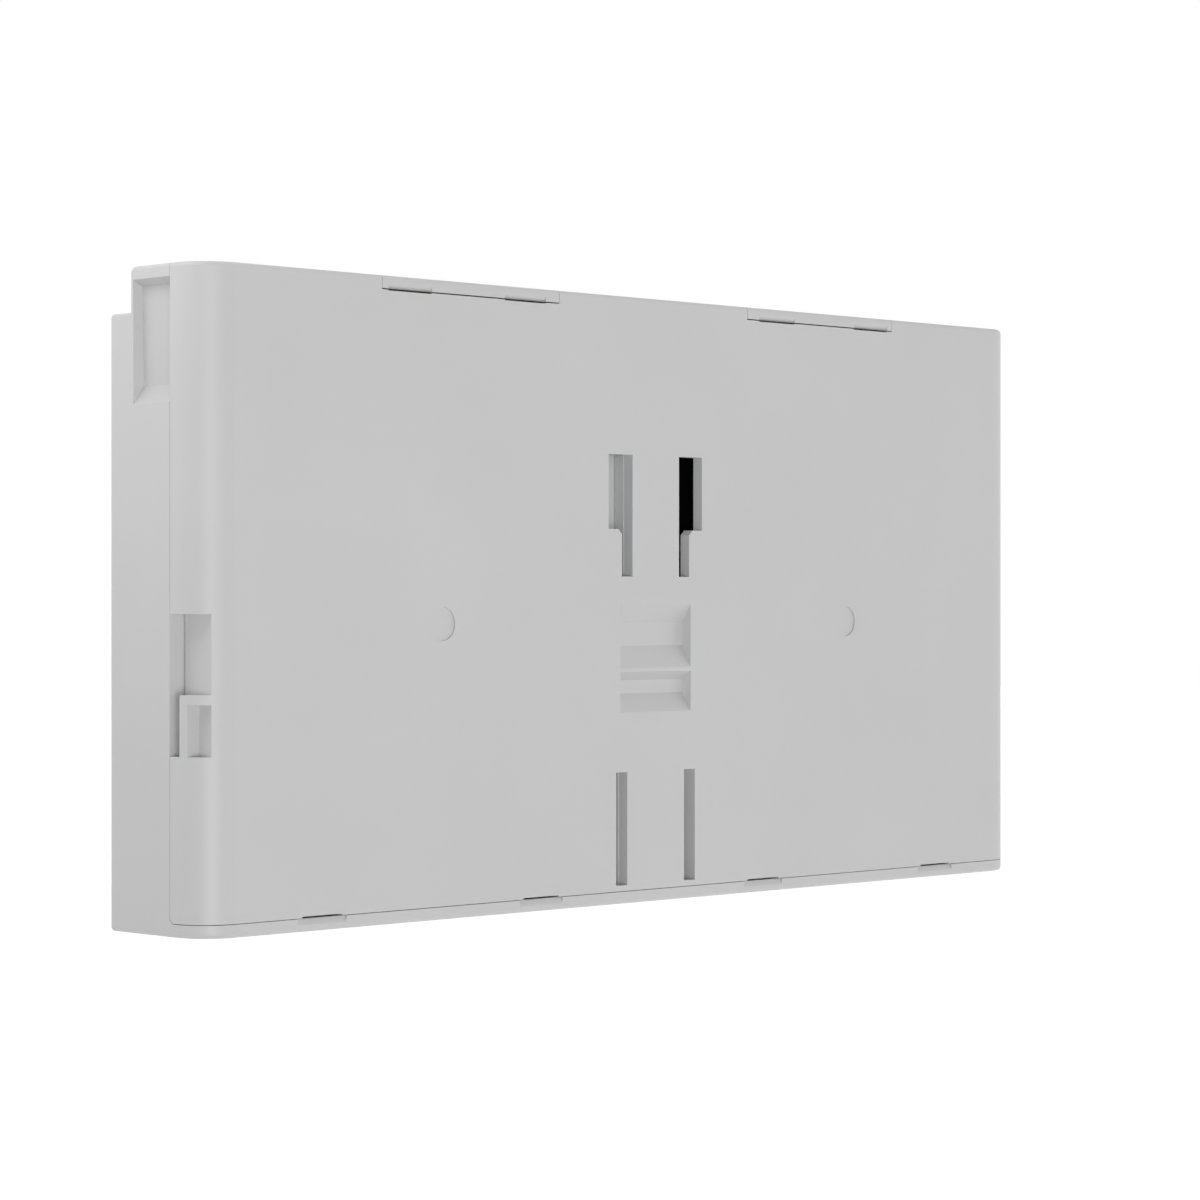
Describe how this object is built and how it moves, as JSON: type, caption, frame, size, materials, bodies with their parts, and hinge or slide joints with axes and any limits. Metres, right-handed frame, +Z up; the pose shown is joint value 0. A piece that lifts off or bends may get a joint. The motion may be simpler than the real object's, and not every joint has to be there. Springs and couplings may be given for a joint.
{
  "type": "wall battery unit",
  "caption": "Thin light-grey wall battery case with hook slots and catch pockets in its back, strap anchors and finger grips in its ends, push buttons and low-voltage sockets.",
  "frame": {"origin": "middle of the back face, in the plane that lies against the wall", "axes": "+Z up, +Y out of the back towards the wall, +X to the right seen from the front"},
  "size_m": [0.287, 0.034, 0.15],
  "materials": {
    "bezel_plastic": "dark grey, satin",
    "black_plastic": "plain black",
    "black_sheet": "thin black sheet",
    "button_plastic": "light grey, satin",
    "capacitor_sleeve": "dark sleeve",
    "case_plastic": "light grey, fine even grain",
    "cell_sleeve": "blue shrink sleeve over a steel can",
    "choke_core": "coated core",
    "circuit_board": "green solder mask",
    "clear_guide": "clear",
    "copper_winding": "enamelled copper wire",
    "ferrite": "sintered black",
    "foam": "closed-cell foam",
    "fuse_glass": "clear tube",
    "holder_plastic": "plain black",
    "lead_black": "wire insulation",
    "lead_red": "wire insulation",
    "led_white": "white package",
    "nickel_strip": "bright nickel",
    "relay_blue": "plain blue",
    "screw_steel": "zinc plated",
    "sink_aluminium": "extruded",
    "smoked_window": "smoked, polished",
    "spine_plastic": "light grey, plain moulded",
    "spring_steel": "bright",
    "terminal_green": "plain green"
  },
  "bodies": {
    "case": {"board_screws": "screw_steel", "capacitors": "capacitor_sleeve", "cell_holder_1": "holder_plastic", "cell_holder_2": "holder_plastic", "cell_holder_3": "holder_plastic", "cell_holder_4": "holder_plastic", "cell_lower_1": "cell_sleeve", "cell_lower_2": "cell_sleeve", "cell_lower_3": "cell_sleeve", "cell_lower_4": "cell_sleeve", "cell_lower_5": "cell_sleeve", "cell_lower_6": "cell_sleeve", "cell_pad": "foam", "cell_upper_1": "cell_sleeve", "cell_upper_2": "cell_sleeve", "cell_upper_3": "cell_sleeve", "cell_upper_4": "cell_sleeve", "cell_upper_5": "cell_sleeve", "cell_upper_6": "cell_sleeve", "centre_spine": "spine_plastic", "choke": "choke_core", "control_bezel": "bezel_plastic", "dc_inlet": "black_plastic", "dc_outlet_1": "black_plastic", "dc_outlet_2": "black_plastic", "front_housing": "case_plastic", "fuse": "fuse_glass", "fuse_holder": "spring_steel", "heat_sink": "sink_aluminium", "insulating_sheet": "black_sheet", "isolator_body": "black_plastic", "lead_terminal": "terminal_green", "light_guide": "clear_guide", "main_board": "circuit_board", "management_board": "circuit_board", "management_transistors": "black_plastic", "minus_lead": "lead_black", "mute_button_spring": "spring_steel", "plus_lead": "lead_red", "power_button_spring": "spring_steel", "push_switches": "black_plastic", "rear_cover": "case_plastic", "relay": "relay_blue", "sink_transistors": "black_plastic", "spine_screws": "screw_steel", "status_board": "circuit_board", "status_leds": "led_white", "status_window": "smoked_window", "strip_pack_minus": "nickel_strip", "strip_pack_plus": "nickel_strip", "strip_row_link_minus": "nickel_strip", "strip_row_link_plus": "nickel_strip", "strip_top_link": "nickel_strip", "transformer_core": "ferrite", "transformer_winding": "copper_winding", "usb_outlet": "spring_steel"},
    "power_button": {"power_button": "button_plastic"},
    "mute_button": {"mute_button": "button_plastic"},
    "isolator_slider": {"isolator_slider": "black_plastic"}
  },
  "joints": [
    {"name": "power_press", "type": "slide", "parent": "case", "child": "power_button", "axis": [0, 1, 0], "range_m": [0, 0.0008], "stiffness_N_per_m": 600, "springref_m": -0.0008, "deforming": ["power_button_spring"]},
    {"name": "mute_press", "type": "slide", "parent": "case", "child": "mute_button", "axis": [0, 1, 0], "range_m": [0, 0.0008], "stiffness_N_per_m": 600, "springref_m": -0.0008, "deforming": ["mute_button_spring"]},
    {"name": "isolator_slide", "type": "slide", "parent": "case", "child": "isolator_slider", "axis": [1, 0, 0], "range_m": [0, 0.003]}
  ]
}
